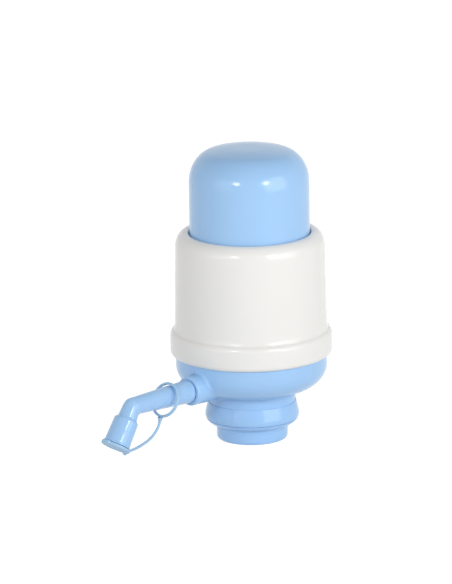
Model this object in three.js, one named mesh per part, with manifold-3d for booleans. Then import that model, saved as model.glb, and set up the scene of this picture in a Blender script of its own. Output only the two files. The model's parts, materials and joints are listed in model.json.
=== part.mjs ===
// Hand pump for a water jug. A sprung dome works a bellows, the bellows blows air into the jug,
// and the air drives the water up the dip tube and out of the spout.
// Millimetres, +Z up. The pump's axis is Z, its skirt stands on z = 0 and the spout points along -Y.

import * as THREE from 'three';
import { mergeVertices } from 'three/addons/utils/BufferGeometryUtils.js';
import Module from 'manifold-3d';

const wasm = await Module();
wasm.setup();

// Clearances
const gap = 0.3;
const slideGap = 0.7;
const sealGap = 0.12;
const overrun = 1;
const weldDistance = 1e-5;

// Facets
const roundSides = 36;
const smallSides = 24;
const hiddenSides = 16;
const pinSides = 10;
const arcSteps = 5;
const innerArcSteps = 3;

// Where partial arcs end, in degrees
const footAngle = 75;
const shoulderAngle = 87;
const lipStartAngle = 110;
const crownAngle = 80;
const screwHeadAngles = [15, 60];

// Neck adapter, for bottles with a 38 mm neck
const skirtBore = 19.25;
const skirtWall = 2.05;
const skirtHeight = 6.6;
const skirtEdgeWidth = 1.5;
const skirtEdgeHeight = 2.4;
const bandStep = 0.3;
const bandHeight = 2.8;
const adapterFlangeWidth = 3;
const adapterFlangeThick = 1.8;
const adapterLipWidth = 3.75;
const adapterLipThick = 3.2;

// Neck collar
const collarWall = 2.03;
const collarHeight = 13.7;
const collarMouthLand = 0.4;
const collarCurveHeight = 5.87;
const collarChamferWidth = 0.9;
const collarChamferHeight = 1.5;
const collarFloorThick = 2.2;
const collarBevelWidth = 1.5;
const collarBevelHeight = 3;

// Bowl, with its neck for bottles with a 48 mm neck
const neckBore = 24.1;
const neckWall = 2.01;
const neckShowing = 7.4;
const floorThick = 2.5;
const bowlRadius = 45.23;
const bowlCurveHeight = 15.2;
const bowlWall = 2.2;
const bowlShowing = 6.45;
const bowlRimInside = 6.15;
const nippleWall = 1.8;
const nippleLength = 19.4;
const ductWall = 1.9;
const airHoleRadius = 1.5;
const airHoleInset = 3.5;
const airHoleCount = 4;

// Spout boss on the bowl, at its height over the bowl's floor
const spoutRise = 8.2;
const bossWall = 1.75;
const bossEndWidth = 0.75;
const bossEndRound = 2;
const bossDraft = 0.2;
const bossOverhang = 7.97;

// Spout
const tubeRadius = 6.15;
const tubeRootStep = 0.85;
const tubeTaper = 1.8;
const tubeWall = 1.5;
const spigotDepth = 13.6;
const spoutLength = 46.2;
const tipAngle = 57.5;
const tipLength = 24.4;
const tipStep = 0.6;
const nozzleStart = 7.2;
const nozzleShoulderStep = 1.6;
const nozzleShoulderLength = 1.6;
const nozzleMidStart = 16.5;
const nozzleMidFlare = 0.25;
const nozzleRimFlare = 0.25;
const nozzleWall = 1.5;
const sealWire = 0.54;
const sealGrooveDepth = 1.05;
const sealGrooveWidth = 1.6;
const sealSpacing = 5;

// Lid, strap and loop
const lidOverhang = 1.1;
const lidThick = 2.4;
const lidEdgeRound = 0.5;
const plugLength = 4.6;
const plugWall = 1.2;
const tabReach = 1.2;
const tabWidth = 6;
const tabRound = 1.1;
const tabThick = 2;
const loopSetback = 18.8;
const loopTilt = 24;
const loopSlack = 3.15;
const loopThick = 1.4;
const loopWidth = 2;
const loopDrop = 1.4;
const strapRadius = 0.8;
const strapDrop = 12;
const strapLean = 1.2;
const strapRun = 13;

// Housing
const threadWall = 2.84;
const footCurveWidth = 3;
const footCurveHeight = 3;
const footSideHeight = 8.43;
const footTopWidth = 2.6;
const footTopHeight = 5;
const footTopFillet = 1;
const bodyStep = 0.22;
const bodyTaper = 0.86;
const bodyHeight = 50.05;
const housingWall = 2.19;
const shoulderWidth = 7.99;
const shoulderHeight = 8.47;
const lipRoundWidth = 1.9;
const lipRoundHeight = 0.75;
const lipThick = 2.35;
const innerShoulderHeight = 7.6;

// Dome
const domeWall = 1.9;
const domeShowing = 52.06;
const domeCornerWidth = 15.2;
const domeCornerHeight = 18.9;
const domeCrown = 2.6;
const palmFlat = 6;
const guideLength = 9;
const postRadius = 3.2;
const postHole = 1.5;
const postHoleDepth = 9;
const postShare = 0.714;
const headScrewCount = 3;

// Bellows, its head, its clamp and the valve plate
const gasketThick = 1.2;
const plateThick = 2.2;
const clampThick = 2.2;
const clampGap = 3;
const clampEdge = 3.2;
const clampReach = 6.7;
const clampMargin = 1;
const bellowsFlangeThick = 1.5;
const bellowsOverhang = 2;
const bellowsFoldDepth = 5.1;
const bellowsWall = 1.2;
const bellowsFoldCount = 8;
const bellowsBeadWidth = 1.1;
const bellowsBeadThick = 0.9;
const headInset = 0.5;
const headThick = 2.5;
const headDrop = 22.9;
const springShare = 0.795;
const springWire = 0.9;
const springCurlCount = 9;
const springSides = 5;
const springSteps = 8;

// Screws and umbrella valves
const screwHeadRadius = 2.8;
const screwHeadHeight = 1.9;
const screwRadius = 1.2;
const screwLength = 7.6;
const clampScrewCount = 3;
const screwBossRadius = 3;
const screwBossHeight = 6;
const valveShare = 0.43;
const valveThick = 1.2;
const valveStem = 1.6;
const valveBulb = 2.5;
const valveBulbHeight = 1.8;
const ventRadius = 1.5;
const ventCount = 4;

// Flat rings
const neckGasketWidth = 7.8;
const neckGasketThick = 1.5;
const bottleGasketWidth = 3.15;
const bottleGasketThick = 1.5;
const adapterSealWidth = 3.8;
const adapterSealThick = 1.2;
const baseGasketWidth = 2.5;

// Radii that follow, from the necks outwards
const skirtRadius = skirtBore + skirtWall;
const bandRadius = skirtRadius + bandStep;
const mouthRadius = bandRadius + gap;
const neckRadius = neckBore + neckWall;
const collarRadius = neckRadius + collarWall;
const neckGasketInner = neckBore - gap - neckGasketWidth;
const airHoleRing = neckGasketInner - airHoleRadius - airHoleInset;
const threadRadius = bowlRadius + gap;
const footRadius = threadRadius + threadWall;
const bodyFootRadius = bowlRadius + bodyStep;
const bodyTopRadius = bodyFootRadius - bodyTaper;
const housingBore = bodyTopRadius - housingWall;
const openingRadius = bodyTopRadius - shoulderWidth;
const domeRadius = openingRadius - slideGap;
const clampOuter = housingBore - clampGap;
const clampScrewRing = clampOuter - clampEdge;
const clampInner = clampScrewRing - clampReach;
const bellowsFlangeRadius = clampScrewRing - screwRadius - clampMargin;
const bellowsCrest = clampInner + bellowsOverhang;
const bellowsRoot = bellowsCrest - bellowsFoldDepth;
const headRadius = bellowsCrest - headInset;
const bellowsBeadRadius = headRadius + gap + bellowsBeadWidth;
const springRadius = bellowsRoot * springShare;
const postRing = springRadius * postShare;
const valveRadius = springRadius * valveShare;
const ventRing = (valveStem + valveRadius) / 2;

// The same for the spout, with stations measured from the pump's axis
const tubeRootRadius = tubeRadius + tubeRootStep;
const tubeFrontRadius = tubeRootRadius - tubeTaper;
const waterRadius = tubeFrontRadius - tubeWall;
const nippleRadius = waterRadius + nippleWall;
const ductRadius = waterRadius + ductWall;
const tipRadius = tubeFrontRadius + tipStep;
const nozzleShoulderRadius = tipRadius + nozzleShoulderStep;
const nozzleMidRadius = nozzleShoulderRadius + nozzleMidFlare;
const nozzleRimRadius = nozzleMidRadius + nozzleRimFlare;
const lidFlangeRadius = nozzleRimRadius + lidOverhang;
const loopInnerRadius = tubeRadius + loopSlack;
const bossBore = tubeRadius + gap;
const bossEndRadius = bossBore + bossWall;
const bossRadius = bossEndRadius + bossEndWidth;
const bossRootRadius = bossRadius + bossDraft;
const bossInner = neckRadius - bowlWall / 2;
const bossReach = bowlRadius + bossOverhang;
const spigotStart = bossReach - spigotDepth;
const loopStation = bossReach + loopSetback;
const elbowReach = bossReach + spoutLength;

// Levels that follow, from the ground up
const collarFootZ = skirtHeight + bandHeight;
const collarFloorZ = collarFootZ + collarFloorThick;
const adapterFlangeZ = collarFloorZ + gap;
const adapterTopZ = adapterFlangeZ + adapterFlangeThick;
const adapterSealZ = adapterTopZ + gap;
const bottleGasketZ = adapterTopZ - adapterLipThick - gap - bottleGasketThick;
const neckFootZ = adapterSealZ + adapterSealThick + gap;
const collarTopZ = collarFootZ + collarHeight;
const neckTopZ = collarTopZ + neckShowing;
const floorZ = neckTopZ - gap;
const floorTopZ = floorZ + floorThick;
const neckGasketZ = floorZ - gap - neckGasketThick;
const nippleFootZ = floorZ - nippleLength;
const spoutZ = neckTopZ + spoutRise;
const bowlCurveTopZ = neckTopZ + bowlCurveHeight;
const housingFootZ = bowlCurveTopZ + bowlShowing;
const bowlRimZ = housingFootZ + bowlRimInside;
const baseGasketZ = bowlRimZ + gap;
const plateZ = baseGasketZ + gasketThick + gap;
const plateTopZ = plateZ + plateThick;
const housingLedgeZ = plateTopZ + gap;
const bellowsFootZ = plateTopZ + gap;
const clampZ = bellowsFootZ + bellowsFlangeThick + gap;
const clampTopZ = clampZ + clampThick;
const footCurveZ = housingFootZ + footCurveHeight;
const footTopZ = footCurveZ + footSideHeight;
const bodyFootZ = footTopZ + footTopHeight;
const shoulderZ = bodyFootZ + bodyHeight;
const housingTopZ = shoulderZ + shoulderHeight;
const lipZ = housingTopZ - lipThick;
const innerShoulderZ = lipZ - innerShoulderHeight;
const domeTopZ = housingTopZ + domeShowing;
const domeCornerZ = domeTopZ - domeCrown - domeCornerHeight;
const headZ = domeTopZ - headDrop;
const headTopZ = headZ + headThick;

// An arc of an outline, as points [radius, height], with its angles in degrees.
function arc(radius, height, width, rise, from, to, steps = arcSteps) {
  const points = [];
  for (let i = 0; i <= steps; i += 1) {
    const angle = THREE.MathUtils.degToRad(from + ((to - from) * i) / steps);
    points.push([radius + width * Math.cos(angle), height + rise * Math.sin(angle)]);
  }
  return points;
}

// A closed solid from a closed three.js geometry.
function toSolid(geometry) {
  const bare = geometry.clone();
  bare.deleteAttribute('normal');
  bare.deleteAttribute('uv');
  const welded = mergeVertices(bare, weldDistance);
  const corners = welded.index.array;
  const triangles = [];
  for (let i = 0; i < corners.length; i += 3) {
    const [a, b, c] = [corners[i], corners[i + 1], corners[i + 2]];
    if (a !== b && b !== c && c !== a) {
      triangles.push(a, b, c);
    }
  }
  const mesh = new wasm.Mesh({
    numProp: 3,
    vertProperties: Float32Array.from(welded.attributes.position.array),
    triVerts: Uint32Array.from(triangles),
  });
  return new wasm.Manifold(mesh);
}

function toGeometry(solid) {
  const { vertProperties, triVerts } = solid.getMesh();
  const geometry = new THREE.BufferGeometry();
  geometry.setAttribute('position', new THREE.BufferAttribute(vertProperties, 3));
  geometry.setIndex(new THREE.BufferAttribute(triVerts, 1));
  geometry.computeVertexNormals();
  return geometry;
}

function join(...geometries) {
  const solids = geometries.map(toSolid);
  return toGeometry(solids.reduce((whole, solid) => whole.add(solid)));
}

function cut(geometry, ...tools) {
  const solids = tools.map(toSolid);
  return toGeometry(solids.reduce((whole, solid) => whole.subtract(solid), toSolid(geometry)));
}

// Turns an outline about Z. Outlines run up their outer side; one that stays off the axis is a ring.
function revolve(outline, sides = roundSides) {
  const points = outline.map(([radius, height]) => new THREE.Vector2(radius, height));
  if (outline[0][0] > 0) {
    points.push(points[0].clone());
  }
  const geometry = new THREE.LatheGeometry(points, sides);
  geometry.rotateX(Math.PI / 2);
  return join(geometry);
}

function rod(radius, from, to, sides = smallSides) {
  return revolve([[0, from], [radius, from], [radius, to], [0, to]], sides);
}

function ring(inner, outer, from, to, sides = roundSides) {
  return revolve([[inner, from], [outer, from], [outer, to], [inner, to]], sides);
}

// Copies of a geometry, evenly round the axis.
function around(geometry, radius, count, start = 0) {
  return Array.from({ length: count }, (_, i) => {
    const angle = start + (2 * Math.PI * i) / count;
    return geometry.clone().translate(radius * Math.cos(angle), radius * Math.sin(angle), 0);
  });
}

// Lays a geometry made along Z along the spout's axis instead.
function alongSpout(geometry) {
  return geometry.clone().rotateX(Math.PI / 2).translate(0, 0, spoutZ);
}

function material(color, roughness, metalness = 0) {
  return new THREE.MeshStandardMaterial({ color, roughness, metalness });
}

const lightBlue = 0x9cc7ef;
const paleBlue = 0xa9cdee;
const offWhite = 0xf3f1ef;
const innerWhite = 0xe6e8ea;
const sealGrey = 0xd9dde0;
const steel = 0xb9bcc0;

function piece(name, geometry, finish) {
  const mesh = new THREE.Mesh(geometry, finish);
  mesh.name = name;
  return mesh;
}

// Press dome: a deep cap whose flange stops under the housing's lip and slides in the housing's bore.
function pressDome() {
  const cornerRadius = domeRadius - domeCornerWidth;
  const crownEdge = arc(cornerRadius, domeCornerZ, domeCornerWidth, domeCornerHeight, 0, crownAngle);
  const innerWidth = domeCornerWidth - domeWall;
  const innerHeight = domeCornerHeight - domeWall;
  const crownInner = arc(cornerRadius, domeCornerZ, innerWidth, innerHeight, crownAngle, 0, innerArcSteps);
  const guideRadius = housingBore - gap;
  const flangeWidth = guideRadius - openingRadius;
  const flangeHeight = innerShoulderHeight - gap;
  const flangeInner = [flangeWidth - domeWall, flangeHeight - domeWall];
  const shell = revolve([
    ...crownOutline(crownInner[0], domeTopZ - domeWall).reverse(),
    ...crownInner,
    [domeRadius - domeWall, innerShoulderZ + flangeHeight - domeWall],
    ...arc(openingRadius, innerShoulderZ, ...flangeInner, 90, 0, innerArcSteps),
    [guideRadius - domeWall, innerShoulderZ - guideLength],
    [guideRadius, innerShoulderZ - guideLength],
    ...arc(openingRadius, innerShoulderZ, flangeWidth, flangeHeight, 0, 90),
    [domeRadius, innerShoulderZ + flangeHeight],
    ...crownEdge,
    ...crownOutline(crownEdge.at(-1), domeTopZ),
  ]);
  const post = rod(postRadius, headTopZ + gap, domeTopZ - domeWall, pinSides);
  const hole = rod(postHole, headTopZ - overrun, headTopZ + gap + postHoleDepth, pinSides);
  const posts = around(post, postRing, headScrewCount, Math.PI / 2);
  const holes = around(hole, postRing, headScrewCount, Math.PI / 2);
  return cut(join(shell, ...posts), ...holes);
}

// The crown's outline from the corner's end to the axis, flat where the palm presses.
function crownOutline([edgeRadius, edgeZ], topZ) {
  const points = [];
  for (let i = 1; i < arcSteps; i += 1) {
    const share = i / arcSteps;
    const radius = edgeRadius + (palmFlat - edgeRadius) * share;
    points.push([radius, topZ - (topZ - edgeZ) * (1 - share) ** 2]);
  }
  return [...points, [palmFlat, topZ], [0, topZ]];
}

function housingShell() {
  const footTopRise = footTopHeight - footTopFillet;
  const crestRadius = openingRadius + lipRoundWidth;
  return revolve([
    ...arc(footRadius - footCurveWidth, footCurveZ, footCurveWidth, footCurveHeight, -footAngle, 0),
    ...arc(footRadius - footTopWidth, footTopZ, footTopWidth, footTopRise, 0, footAngle, 4),
    [bodyFootRadius, bodyFootZ],
    ...arc(crestRadius, shoulderZ, bodyTopRadius - crestRadius, shoulderHeight, 0, shoulderAngle, 8),
    ...arc(crestRadius, housingTopZ - lipRoundHeight, lipRoundWidth, lipRoundHeight, lipStartAngle, 180, 3),
    ...arc(openingRadius, innerShoulderZ, housingBore - openingRadius, innerShoulderHeight, 90, 0),
    [housingBore, housingLedgeZ],
    [threadRadius, housingLedgeZ],
    [threadRadius, housingFootZ],
  ]);
}

// Bowl, neck, spout boss and the water duct from the nipple to the boss, in one moulding.
function baseBowl() {
  const curveWidth = bowlRadius - neckRadius;
  const innerRise = bowlCurveTopZ - floorTopZ;
  const shell = revolve([
    [0, floorZ],
    [neckBore, floorZ],
    [neckBore, neckFootZ],
    [neckRadius, neckFootZ],
    ...arc(neckRadius, bowlCurveTopZ, curveWidth, bowlCurveHeight, -90, 0, 7),
    [bowlRadius, bowlRimZ],
    [bowlRadius - bowlWall, bowlRimZ],
    ...arc(neckRadius, bowlCurveTopZ, curveWidth - bowlWall, innerRise, 0, -90),
    [0, floorTopZ],
  ]);
  const boss = alongSpout(
    revolve(
      [
        [0, bossInner],
        [bossRootRadius, bossInner],
        ...arc(bossEndRadius, bossReach - bossEndRound, bossEndWidth, bossEndRound, 0, 90, 4),
        [0, bossReach],
      ],
      smallSides,
    ),
  );
  const ductEnd = bossInner + overrun;
  const ductRound = arc(0, 0, ductRadius, ductRadius, -90, 0, innerArcSteps);
  const duct = alongSpout(revolve([...ductRound, [ductRadius, ductEnd], [0, ductEnd]], pinSides));
  const nipple = rod(nippleRadius, nippleFootZ, floorTopZ, pinSides);
  const spigotHole = alongSpout(rod(bossBore, spigotStart - gap, bossReach + overrun));
  const ductHole = alongSpout(rod(waterRadius, -waterRadius, spigotStart, pinSides));
  const nippleHole = rod(waterRadius, nippleFootZ - overrun, spoutZ, pinSides);
  const airHole = rod(airHoleRadius, floorZ - overrun, floorTopZ + overrun, pinSides);
  const airWays = around(airHole, airHoleRing, airHoleCount, Math.PI / airHoleCount);
  return cut(join(shell, boss, duct, nipple), spigotHole, ductHole, nippleHole, ...airWays);
}

function neckCollar() {
  const mouthEdge = mouthRadius + collarMouthLand;
  const curveTopZ = collarFootZ + collarCurveHeight;
  const collarBore = neckRadius + gap;
  return revolve([
    [mouthRadius, collarFootZ],
    ...arc(mouthEdge, curveTopZ, collarRadius - mouthEdge, collarCurveHeight, -90, 0, 7),
    [collarRadius, collarTopZ - collarChamferHeight],
    [collarRadius - collarChamferWidth, collarTopZ - gap],
    [collarBore, collarTopZ],
    [collarBore, collarFloorZ + collarBevelHeight],
    [collarBore - collarBevelWidth, collarFloorZ],
    [mouthRadius, collarFloorZ],
  ]);
}

function neckAdapter() {
  const flangeRadius = bandRadius + adapterFlangeWidth;
  const lipRadius = skirtBore - adapterLipWidth;
  const edgeRadius = skirtRadius - skirtEdgeWidth;
  return revolve([
    [skirtBore, 0],
    ...arc(edgeRadius, skirtEdgeHeight, skirtEdgeWidth, skirtEdgeHeight, -90, 0, 4),
    [skirtRadius, skirtHeight],
    [bandRadius, skirtHeight],
    [bandRadius, adapterFlangeZ],
    [flangeRadius, adapterFlangeZ],
    [flangeRadius, adapterTopZ],
    [lipRadius, adapterTopZ],
    [lipRadius, adapterTopZ - adapterLipThick],
    [skirtBore, adapterTopZ - adapterLipThick],
  ]);
}

// Stations of the spout's two seals, measured from the pump's axis.
const sealStations = [0, 1].map((i) => spigotStart + sealGrooveWidth * 2 + i * sealSpacing);

// The spout is made along Z, with Z measured from the pump's axis, and its tip bends towards -Y.
function spoutTube() {
  const rootStart = bossReach + gap;
  const straight = revolve(
    [
      [0, spigotStart],
      [tubeRadius, spigotStart],
      [tubeRadius, rootStart],
      [tubeRootRadius, rootStart],
      ...arc(0, elbowReach, tubeFrontRadius, tubeFrontRadius, 0, 90, innerArcSteps),
    ],
    smallSides,
  );
  const straightBore = revolve(
    [
      [0, spigotStart - overrun],
      [waterRadius, spigotStart - overrun],
      ...arc(0, elbowReach, waterRadius, waterRadius, 0, 90, innerArcSteps),
    ],
    smallSides,
  );
  const nozzle = revolve(
    [
      ...arc(0, 0, tipRadius, tipRadius, -90, 0, innerArcSteps),
      [tipRadius, nozzleStart],
      [nozzleShoulderRadius, nozzleStart + nozzleShoulderLength],
      [nozzleMidRadius, nozzleMidStart],
      [nozzleRimRadius, tipLength],
      [0, tipLength],
    ],
    smallSides,
  );
  const nozzleBore = revolve(
    [
      [0, 0],
      [waterRadius, 0],
      [waterRadius, nozzleStart + nozzleWall],
      [nozzleShoulderRadius - nozzleWall, nozzleStart + nozzleShoulderLength + nozzleWall],
      [nozzleRimRadius - nozzleWall, tipLength],
      [nozzleRimRadius - nozzleWall, tipLength + overrun],
      [0, tipLength + overrun],
    ],
    smallSides,
  );
  const groove = ring(
    tubeRadius - sealGrooveDepth,
    tubeRadius + overrun,
    -sealGrooveWidth / 2,
    sealGrooveWidth / 2,
    smallSides,
  );
  const grooves = sealStations.map((station) => groove.clone().translate(0, 0, station));
  const bend = THREE.MathUtils.degToRad(tipAngle);
  const toTip = (geometry) => geometry.rotateX(bend).translate(0, 0, elbowReach);
  return cut(join(straight, toTip(nozzle)), straightBore, toTip(nozzleBore), ...grooves);
}

function spoutSeal(station) {
  const centreRadius = tubeRadius - sealGrooveDepth + sealGap + sealWire;
  const geometry = new THREE.TorusGeometry(centreRadius, sealWire, 5, smallSides);
  return join(geometry.translate(0, 0, station));
}

// Lid: a disc with a hollow plug for the nozzle and a finger tab, made with the nozzle's rim at z = 0.
function spoutLid() {
  const plugRadius = nozzleRimRadius - nozzleWall - gap;
  const plugFrontRadius = plugRadius - gap;
  const disc = revolve(
    [
      [0, gap],
      [0, gap + lidThick],
      [lidFlangeRadius - lidEdgeRound, gap + lidThick],
      [lidFlangeRadius, gap + lidThick - lidEdgeRound],
      [lidFlangeRadius, gap + lidEdgeRound],
      [lidFlangeRadius - lidEdgeRound, gap],
    ].reverse(),
    smallSides,
  );
  const plug = revolve(
    [
      [plugRadius - plugWall, gap + overrun],
      [plugFrontRadius - plugWall, gap - plugLength],
      [plugFrontRadius, gap - plugLength],
      [plugRadius, gap + overrun],
    ],
    smallSides,
  );
  const outline = new THREE.Shape();
  const tabEnd = lidFlangeRadius + tabReach;
  outline.moveTo(-tabWidth / 2, 0);
  outline.lineTo(tabWidth / 2, 0);
  outline.lineTo(tabWidth / 2, tabEnd - tabRound);
  outline.absarc(tabWidth / 2 - tabRound, tabEnd - tabRound, tabRound, 0, Math.PI / 2);
  outline.absarc(tabRound - tabWidth / 2, tabEnd - tabRound, tabRound, Math.PI / 2, Math.PI);
  outline.closePath();
  const extrusion = { depth: tabThick, bevelEnabled: false, curveSegments: 4 };
  const tab = new THREE.ExtrudeGeometry(outline, extrusion);
  return join(disc, plug, tab.translate(0, 0, gap + (lidThick - tabThick) / 2));
}

// Loop: made round Z with its centre at the origin.
function retainingLoop() {
  const outer = loopInnerRadius + loopThick;
  return ring(loopInnerRadius, outer, -loopWidth / 2, loopWidth / 2, smallSides);
}

// The strap runs from the loop's foot down and along to the near edge of the lid, in the plane x = 0.
function lidStrap() {
  const tilt = THREE.MathUtils.degToRad(loopTilt);
  const tip = THREE.MathUtils.degToRad(tipAngle);
  const loopFoot = loopInnerRadius + loopThick + gap;
  const start = new THREE.Vector3(
    0,
    -(loopStation + loopFoot * Math.sin(tilt)),
    spoutZ - loopDrop - loopFoot * Math.cos(tilt),
  );
  const lidEdge = lidFlangeRadius + gap;
  const strapLevel = tipLength + gap + lidThick - strapRadius;
  const end = new THREE.Vector3(
    0,
    -(elbowReach + strapLevel * Math.cos(tip) - lidEdge * Math.sin(tip)),
    spoutZ - strapLevel * Math.sin(tip) - lidEdge * Math.cos(tip),
  );
  const path = new THREE.CubicBezierCurve3(
    start,
    start.clone().add(new THREE.Vector3(0, -strapLean, -strapDrop)),
    end.clone().add(new THREE.Vector3(0, strapRun, 0)),
    end,
  );
  const section = new THREE.Shape();
  section.absarc(0, 0, strapRadius, 0, 2 * Math.PI);
  return join(new THREE.ExtrudeGeometry(section, { steps: 16, curveSegments: 8, extrudePath: path }));
}

// Folded tube with a flange at its foot and a bead that hooks over the head's rim.
function bellowsTube() {
  const flangeTopZ = bellowsFootZ + bellowsFlangeThick;
  const beadFootZ = headZ - gap - bellowsWall;
  const beadTopZ = headTopZ + gap + bellowsBeadThick;
  const beadInner = headRadius + gap;
  const foldHeight = (beadFootZ - flangeTopZ) / bellowsFoldCount;
  const outside = [];
  for (let i = 0; i < bellowsFoldCount; i += 1) {
    outside.push([bellowsRoot, flangeTopZ + foldHeight * i]);
    outside.push([bellowsCrest, flangeTopZ + foldHeight * (i + 1 / 2)]);
  }
  const inside = outside.map(([radius, height]) => [radius - bellowsWall, height]).reverse();
  return revolve(
    [
      [bellowsRoot - bellowsWall, bellowsFootZ],
      [bellowsFlangeRadius, bellowsFootZ],
      [bellowsFlangeRadius, flangeTopZ],
      ...outside,
      [bellowsRoot, beadFootZ],
      [bellowsBeadRadius, beadFootZ],
      [bellowsBeadRadius, beadTopZ],
      [headRadius - bellowsWall, beadTopZ],
      [headRadius - bellowsWall, headTopZ + gap],
      [beadInner, headTopZ + gap],
      [beadInner, headZ - gap],
      [bellowsRoot - bellowsWall, headZ - gap],
      ...inside.slice(0, -1),
    ],
    hiddenSides,
  );
}

class Helix extends THREE.Curve {
  constructor(radius, footZ, topZ, curls) {
    super();
    Object.assign(this, { radius, footZ, topZ, curls });
  }

  getPoint(share, target = new THREE.Vector3()) {
    const angle = 2 * Math.PI * this.curls * share;
    const height = this.footZ + (this.topZ - this.footZ) * share;
    return target.set(this.radius * Math.cos(angle), this.radius * Math.sin(angle), height);
  }
}

function returnSpring() {
  const path = new Helix(
    springRadius,
    plateTopZ + gap + springWire,
    headZ - gap - springWire,
    springCurlCount,
  );
  const section = new THREE.Shape();
  for (let i = 0; i < springSides; i += 1) {
    const angle = (2 * Math.PI * i) / springSides;
    const corner = [springWire * Math.cos(angle), springWire * Math.sin(angle)];
    if (i === 0) {
      section.moveTo(...corner);
    } else {
      section.lineTo(...corner);
    }
  }
  section.closePath();
  const steps = springCurlCount * springSteps;
  printLeastGap(path, steps);
  return join(new THREE.ExtrudeGeometry(section, { steps, extrudePath: path }));
}

// Least gap between curls, between points that lie half a curl or more apart along the wire.
function printLeastGap(path, steps) {
  const points = path.getPoints(steps);
  let least = Infinity;
  for (let i = 0; i < points.length; i += 1) {
    for (let j = i + springSteps / 2; j < points.length; j += 1) {
      least = Math.min(least, points[i].distanceTo(points[j]) - 2 * springWire);
    }
  }
  console.log(`return_spring: least gap between curls ${least.toFixed(2)} mm`);
}

function bellowsHead() {
  const plate = rod(headRadius, headZ, headTopZ, hiddenSides);
  const stemHole = rod(valveStem + gap, headZ - overrun, headTopZ + overrun, pinSides);
  const vent = rod(ventRadius, headZ - overrun, headTopZ + overrun, pinSides);
  const screwHole = rod(screwRadius + gap, headZ - overrun, headTopZ + overrun, pinSides);
  return cut(
    plate,
    stemHole,
    ...around(vent, ventRing, ventCount),
    ...around(screwHole, postRing, headScrewCount, Math.PI / 2),
  );
}

function valvePlate() {
  const plateRadius = threadRadius - gap * 2;
  const plate = rod(plateRadius, plateZ, plateTopZ, roundSides);
  const boss = rod(screwBossRadius, plateZ - screwBossHeight, plateZ + overrun, pinSides);
  const stemHole = rod(valveStem + gap, plateZ - overrun, plateTopZ + overrun, pinSides);
  const vent = rod(ventRadius, plateZ - overrun, plateTopZ + overrun, pinSides);
  const holeFootZ = clampTopZ + gap - screwLength - gap;
  const screwHole = rod(screwRadius + gap, holeFootZ, plateTopZ + overrun, pinSides);
  return cut(
    join(plate, ...around(boss, clampScrewRing, clampScrewCount)),
    stemHole,
    ...around(vent, ventRing, ventCount),
    ...around(screwHole, clampScrewRing, clampScrewCount),
  );
}

function bellowsClamp() {
  const plate = ring(clampInner, clampOuter, clampZ, clampTopZ);
  const bodyHole = rod(screwRadius + gap, clampZ - overrun, clampTopZ + overrun, pinSides);
  return cut(plate, ...around(bodyHole, clampScrewRing, clampScrewCount));
}

// Screw with a domed head, made with the underside of its head at z = 0 and the shank below.
function panScrew() {
  return revolve(
    [
      [0, -screwLength],
      [screwRadius, -screwLength],
      [screwRadius, 0],
      [screwHeadRadius, 0],
      ...arc(0, 0, screwHeadRadius, screwHeadHeight, ...screwHeadAngles, 2),
      [0, screwHeadHeight],
    ],
    pinSides,
  );
}

// Umbrella valve, made with its seat at z = 0, the flap below and the stem up through a plate.
function umbrellaValve(plateThickness) {
  const bulbFoot = plateThickness + gap;
  return revolve(
    [
      [0, -gap - valveThick],
      [valveStem, -gap - valveThick],
      [valveRadius, -gap - valveThick / 2],
      [valveRadius, -gap],
      [valveStem, -gap],
      [valveStem, bulbFoot],
      [valveBulb, bulbFoot],
      [valveStem, bulbFoot + valveBulbHeight],
      [0, bulbFoot + valveBulbHeight],
    ],
    hiddenSides,
  );
}

function flatRing(outer, width, foot, thickness) {
  return ring(outer - width, outer, foot, foot + thickness);
}

// Assembly
const pump = new THREE.Group();

const blue = () => material(lightBlue, 0.28);
const white = () => material(offWhite, 0.3);
const plain = () => material(innerWhite, 0.5);
const soft = () => material(paleBlue, 0.45);
const rubber = () => material(sealGrey, 0.7);
const metal = () => material(steel, 0.3, 1);

pump.add(piece('press_dome', pressDome(), blue()));
pump.add(piece('housing_shell', housingShell(), white()));
pump.add(piece('base_bowl', baseBowl(), blue()));
pump.add(piece('neck_collar', neckCollar(), blue()));
pump.add(piece('neck_adapter', neckAdapter(), blue()));

const rings = {
  bottle_gasket: [skirtBore - gap, bottleGasketWidth, bottleGasketZ, bottleGasketThick],
  adapter_seal: [neckRadius - gap, adapterSealWidth, adapterSealZ, adapterSealThick],
  neck_gasket: [neckBore - gap, neckGasketWidth, neckGasketZ, neckGasketThick],
  base_gasket: [bowlRadius - gap, baseGasketWidth, baseGasketZ, gasketThick],
};
for (const [name, sizes] of Object.entries(rings)) {
  pump.add(piece(name, flatRing(...sizes), rubber()));
}

pump.add(piece('valve_plate', valvePlate(), plain()));
const outletValve = piece('outlet_valve', umbrellaValve(plateThick), rubber());
outletValve.position.z = plateZ;
pump.add(outletValve);
pump.add(piece('bellows_clamp', bellowsClamp(), plain()));
for (let i = 0; i < clampScrewCount; i += 1) {
  const angle = (2 * Math.PI * i) / clampScrewCount;
  const screw = piece(`clamp_screw_${i + 1}`, panScrew(), metal());
  screw.position.set(clampScrewRing * Math.cos(angle), clampScrewRing * Math.sin(angle), clampTopZ + gap);
  pump.add(screw);
}

pump.add(piece('bellows', bellowsTube(), rubber()));
pump.add(piece('return_spring', returnSpring(), metal()));
pump.add(piece('bellows_head', bellowsHead(), plain()));
const inletValve = piece('inlet_valve', umbrellaValve(headThick), rubber());
inletValve.position.z = headZ;
pump.add(inletValve);
for (let i = 0; i < headScrewCount; i += 1) {
  const angle = Math.PI / 2 + (2 * Math.PI * i) / headScrewCount;
  const screw = piece(`head_screw_${i + 1}`, panScrew(), metal());
  screw.rotation.x = Math.PI;
  screw.position.set(postRing * Math.cos(angle), postRing * Math.sin(angle), headZ - gap);
  pump.add(screw);
}

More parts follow.
